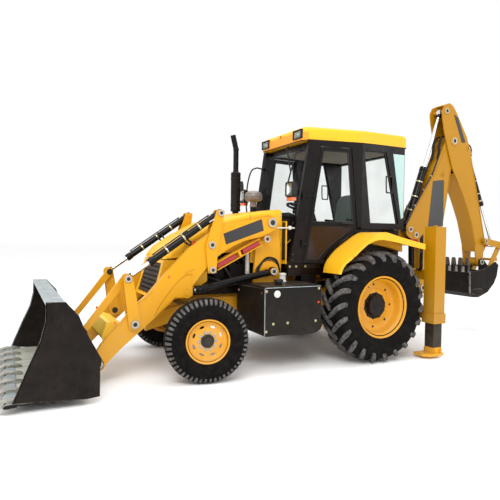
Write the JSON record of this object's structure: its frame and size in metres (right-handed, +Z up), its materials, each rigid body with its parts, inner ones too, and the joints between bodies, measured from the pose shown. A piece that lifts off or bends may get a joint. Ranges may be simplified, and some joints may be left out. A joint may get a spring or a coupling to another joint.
{
  "type": "backhoe loader",
  "caption": "Two-wheel-drive backhoe loader with glazed cab, self-levelling front loader and bucket, side-shift rear digging arm and two stabiliser legs.",
  "frame": {"origin": "on the ground under the middle of the whole outline", "axes": "+X forward towards the loader bucket, +Y to the left of the operator, +Z up"},
  "size_m": [7.581, 2.374, 3.6059],
  "materials": {
    "tyre": "moulded tread rubber, dusty",
    "rim_paint": "gloss enamel, chipped at the lips",
    "glass": "clear tinted safety glass",
    "dark_paint": "satin black enamel, oily dust",
    "black_plastic": "moulded, matt",
    "seat_fabric": "woven cloth over foam",
    "body_paint": "gloss yellow enamel, worn at edges",
    "chrome": "hard chrome, polished",
    "black_paint": "satin black enamel",
    "bare_steel": "machined, greased"
  },
  "bodies": {
    "chassis": {"chassis_frame": "body_paint", "engine_block": "dark_paint", "axles": "dark_paint", "loader_towers": "body_paint", "cowls": "body_paint", "grille": "black_plastic", "stacks": "black_plastic", "side_tanks": "black_paint", "cab_frame": "black_paint", "cab_base": "black_paint", "cab_roof": "body_paint", "cab_glass": "glass", "mudguards": "body_paint", "seat": "seat_fabric", "controls": "black_plastic", "head_lamps": "black_plastic", "rear_frame": "body_paint"},
    "bonnet": {"bonnet": "body_paint"},
    "door_left": {"door_left": "body_paint", "door_glass_left": "glass"},
    "door_right": {"door_right": "body_paint", "door_glass_right": "glass"},
    "knuckle_left": {"knuckle_left": "dark_paint"},
    "knuckle_right": {"knuckle_right": "dark_paint"},
    "front_wheel_left": {"front_tyre_left": "tyre", "front_rim_left": "rim_paint"},
    "front_wheel_right": {"front_tyre_right": "tyre", "front_rim_right": "rim_paint"},
    "rear_wheel_left": {"rear_tyre_left": "tyre", "rear_rim_left": "rim_paint"},
    "rear_wheel_right": {"rear_tyre_right": "tyre", "rear_rim_right": "rim_paint"},
    "leg_left": {"leg_left": "black_paint"},
    "leg_right": {"leg_right": "black_paint"},
    "loader_arms": {"loader_arms": "body_paint"},
    "mid_levers": {"mid_levers": "body_paint"},
    "level_links": {"level_links": "body_paint"},
    "lever_pins": {"lever_pins": "bare_steel"},
    "front_levers": {"front_levers": "body_paint"},
    "link_pins": {"link_pins": "bare_steel"},
    "tipping_links": {"tipping_links": "body_paint"},
    "bucket_pins": {"bucket_pins": "bare_steel"},
    "loader_bucket": {"loader_bucket": "black_paint"},
    "tilt_barrels": {"tilt_barrels": "black_paint"},
    "tilt_rods": {"tilt_rods": "chrome"},
    "lift_barrels": {"lift_barrels": "black_paint"},
    "lift_rods": {"lift_rods": "chrome"},
    "carriage": {"carriage": "body_paint"},
    "kingpost": {"kingpost": "body_paint"},
    "boom": {"boom": "body_paint"},
    "dipper": {"dipper": "body_paint"},
    "hoe_rocker": {"hoe_rocker": "body_paint"},
    "hoe_link": {"hoe_link": "body_paint"},
    "hoe_bucket": {"hoe_bucket": "black_paint"},
    "boom_ram_barrel": {"boom_ram_barrel": "black_paint"},
    "boom_ram_rod": {"boom_ram_rod": "chrome"},
    "dipper_ram_barrel": {"dipper_ram_barrel": "black_paint"},
    "dipper_ram_rod": {"dipper_ram_rod": "chrome"},
    "hoe_bucket_ram_barrel": {"hoe_bucket_ram_barrel": "black_paint"},
    "hoe_bucket_ram_rod": {"hoe_bucket_ram_rod": "chrome"}
  },
  "joints": [
    {"name": "bonnet_hinge", "type": "hinge", "parent": "chassis", "child": "bonnet", "pos_m": [1.0485, 0, 1.79], "axis": [0, -1, 0], "range_deg": [0, 50]},
    {"name": "door_left_hinge", "type": "hinge", "parent": "chassis", "child": "door_left", "pos_m": [0.4315, 0.592, 1.2], "axis": [0, 0, -1], "range_deg": [0, 80]},
    {"name": "door_right_hinge", "type": "hinge", "parent": "chassis", "child": "door_right", "pos_m": [0.4315, -0.592, 1.2], "axis": [0, 0, 1], "range_deg": [0, 80]},
    {"name": "steer_left", "type": "hinge", "parent": "chassis", "child": "knuckle_left", "pos_m": [1.7435, 0.7, 0], "axis": [0, 0, 1], "range_deg": [-30, 50]},
    {"name": "steer_right", "type": "hinge", "parent": "chassis", "child": "knuckle_right", "pos_m": [1.7435, -0.7, 0], "axis": [0, 0, 1], "range_deg": [-30, 50]},
    {"name": "front_wheel_left_spin", "type": "hinge", "parent": "knuckle_left", "child": "front_wheel_left", "pos_m": [1.77649, 0.88711, 0.436], "axis": [0.1736, 0.9848, 0], "continuous": true},
    {"name": "rear_wheel_left_spin", "type": "hinge", "parent": "chassis", "child": "rear_wheel_left", "pos_m": [-0.4265, 0.885, 0.677], "axis": [0, 1, 0], "continuous": true},
    {"name": "leg_left_slide", "type": "slide", "parent": "chassis", "child": "leg_left", "axis": [0, 0, 1], "range_m": [-0.2, 0.3]},
    {"name": "front_wheel_right_spin", "type": "hinge", "parent": "knuckle_right", "child": "front_wheel_right", "pos_m": [1.71051, -0.88711, 0.436], "axis": [0.1736, 0.9848, 0], "continuous": true},
    {"name": "rear_wheel_right_spin", "type": "hinge", "parent": "chassis", "child": "rear_wheel_right", "pos_m": [-0.4265, -0.885, 0.677], "axis": [0, 1, 0], "continuous": true},
    {"name": "leg_right_slide", "type": "slide", "parent": "chassis", "child": "leg_right", "axis": [0, 0, 1], "range_m": [-0.2, 0.3]},
    {"name": "loader_lift", "type": "hinge", "parent": "chassis", "child": "loader_arms", "pos_m": [0.8365, 0, 1.675], "axis": [0, -1, 0], "range_deg": [0, 76]},
    {"name": "mid_lever_pivot", "type": "hinge", "parent": "loader_arms", "child": "mid_levers", "pos_m": [1.6005, 0, 1.413], "axis": [0, -1, 0], "range_deg": [-55.66, 1.5]},
    {"name": "level_link_pivot", "type": "hinge", "parent": "chassis", "child": "level_links", "pos_m": [0.9135, 0, 1.483], "axis": [0, -1, 0], "range_deg": [-1.5, 81.83]},
    {"name": "lever_pin_turn", "type": "hinge", "parent": "loader_arms", "child": "lever_pins", "pos_m": [2.4455, 0, 0.592], "axis": [0, -1, 0], "range_deg": [-38.95, 1.5]},
    {"name": "bucket_pin_turn", "type": "hinge", "parent": "loader_arms", "child": "bucket_pins", "pos_m": [2.8085, 0, 0.215], "axis": [0, -1, 0], "range_deg": [-49.49, 1.5]},
    {"name": "lift_barrel_pivot", "type": "hinge", "parent": "chassis", "child": "lift_barrels", "pos_m": [0.8025, 0, 1.099], "axis": [0, -1, 0], "range_deg": [-1.5, 65.52]},
    {"name": "lift_rod_slide", "type": "slide", "parent": "lift_barrels", "child": "lift_rods", "axis": [0.9825, 0, -0.1864], "range_m": [-0.02, 0.66933]},
    {"name": "tilt_barrel_pivot", "type": "hinge", "parent": "mid_levers", "child": "tilt_barrels", "pos_m": [1.4965, 0, 1.769], "axis": [0, -1, 0], "range_deg": [-1.5, 51.18]},
    {"name": "bucket_tilt", "type": "hinge", "parent": "bucket_pins", "child": "loader_bucket", "pos_m": [2.8085, 0, 0.215], "axis": [0, 1, 0], "range_deg": [-34, 60]},
    {"name": "front_lever_turn", "type": "hinge", "parent": "lever_pins", "child": "front_levers", "pos_m": [2.4455, 0, 0.592], "axis": [0, 1, 0], "range_deg": [-29.38, 50.7]},
    {"name": "link_pin_turn", "type": "hinge", "parent": "front_levers", "child": "link_pins", "pos_m": [2.5165, 0, 1.066], "axis": [0, -1, 0], "range_deg": [-1.5, 29.43]},
    {"name": "tipping_link_pivot", "type": "hinge", "parent": "link_pins", "child": "tipping_links", "pos_m": [2.5165, 0, 1.066], "axis": [0, 1, 0], "range_deg": [-41.7, 24.28]},
    {"name": "tilt_rod_slide", "type": "slide", "parent": "tilt_barrels", "child": "tilt_rods", "axis": [0.8234, 0, -0.5675], "range_m": [-0.22176, 0.37605]},
    {"name": "sideshift", "type": "slide", "parent": "chassis", "child": "carriage", "axis": [0, -1, 0], "range_m": [-0.45, 0.45]},
    {"name": "swing", "type": "hinge", "parent": "carriage", "child": "kingpost", "pos_m": [-1.7865, 0, 0], "axis": [0, 0, 1], "range_deg": [-90, 90]},
    {"name": "boom_lift", "type": "hinge", "parent": "kingpost", "child": "boom", "pos_m": [-2.0265, 0, 0.76], "axis": [0, -1, 0], "range_deg": [0, 120]},
    {"name": "boom_ram_pivot", "type": "hinge", "parent": "kingpost", "child": "boom_ram_barrel", "pos_m": [-1.9265, 0, 0.96], "axis": [0, -1, 0], "range_deg": [-1.5, 126]},
    {"name": "boom_ram_slide", "type": "slide", "parent": "boom_ram_barrel", "child": "boom_ram_rod", "axis": [0.0333, 0, 0.9994], "range_m": [-0.02, 0.2973]},
    {"name": "dipper_swing", "type": "hinge", "parent": "boom", "child": "dipper", "pos_m": [-2.6435, 0, 3.033], "axis": [0, 1, 0], "range_deg": [0, 110]},
    {"name": "dipper_ram_pivot", "type": "hinge", "parent": "boom", "child": "dipper_ram_barrel", "pos_m": [-1.7875, 0, 1.64], "axis": [0, 1, 0], "range_deg": [-6.56, 1.5]},
    {"name": "dipper_ram_slide", "type": "slide", "parent": "dipper_ram_barrel", "child": "dipper_ram_rod", "axis": [-0.3435, 0, 0.9391], "range_m": [-0.79587, 0.02]},
    {"name": "hoe_bucket_curl", "type": "hinge", "parent": "dipper", "child": "hoe_bucket", "pos_m": [-3.2865, 0, 1.13], "axis": [0, 1, 0], "range_deg": [-50, 95]},
    {"name": "hoe_rocker_pivot", "type": "hinge", "parent": "dipper", "child": "hoe_rocker", "pos_m": [-3.3445, 0, 1.47], "axis": [0, 1, 0], "range_deg": [-32.5, 60.4]},
    {"name": "hoe_link_pivot", "type": "hinge", "parent": "hoe_rocker", "child": "hoe_link", "pos_m": [-3.7385, 0, 1.401], "axis": [0, 1, 0], "range_deg": [-47.1, 25.5]},
    {"name": "hoe_bucket_ram_pivot", "type": "hinge", "parent": "dipper", "child": "hoe_bucket_ram_barrel", "pos_m": [-3.0665, 0, 2.89], "axis": [0, 1, 0], "range_deg": [-3.26, 4.85]},
    {"name": "hoe_bucket_ram_slide", "type": "slide", "parent": "hoe_bucket_ram_barrel", "child": "hoe_bucket_ram_rod", "axis": [-0.4114, 0, -0.9115], "range_m": [-0.38665, 0.21297]}
  ],
  "couplings": [
    {"joint": "steer_right", "follows": "steer_left", "ratio": 1},
    {"joint": "mid_lever_pivot", "follows": "loader_lift", "ratio": -0.71265},
    {"joint": "level_link_pivot", "follows": "loader_lift", "ratio": 1.057},
    {"joint": "lever_pin_turn", "follows": "loader_lift", "ratio": -0.49278},
    {"joint": "bucket_pin_turn", "follows": "loader_lift", "ratio": -0.63145},
    {"joint": "lift_barrel_pivot", "follows": "loader_lift", "ratio": 0.84232},
    {"joint": "lift_rod_slide", "follows": "loader_lift", "m_per_rad": 0.48952},
    {"joint": "tilt_barrel_pivot", "follows": "loader_lift", "ratio": 0.65363},
    {"joint": "front_lever_turn", "follows": "bucket_tilt", "ratio": 0.82},
    {"joint": "link_pin_turn", "follows": "loader_lift", "ratio": 0.36755},
    {"joint": "tipping_link_pivot", "follows": "bucket_tilt", "ratio": -0.67},
    {"joint": "tilt_rod_slide", "follows": "bucket_tilt", "m_per_rad": 0.34},
    {"joint": "boom_ram_pivot", "follows": "boom_lift", "ratio": 1.0375},
    {"joint": "boom_ram_slide", "follows": "boom_lift", "m_per_rad": 0.1324},
    {"joint": "dipper_ram_pivot", "follows": "dipper_swing", "ratio": -0.04604},
    {"joint": "dipper_ram_slide", "follows": "dipper_swing", "m_per_rad": -0.40413},
    {"joint": "hoe_rocker_pivot", "follows": "hoe_bucket_curl", "ratio": 0.62},
    {"joint": "hoe_link_pivot", "follows": "hoe_bucket_curl", "ratio": -0.48},
    {"joint": "hoe_bucket_ram_pivot", "follows": "hoe_bucket_curl", "ratio": 0.03527},
    {"joint": "hoe_bucket_ram_slide", "follows": "hoe_bucket_curl", "m_per_rad": -0.22113}
  ]
}
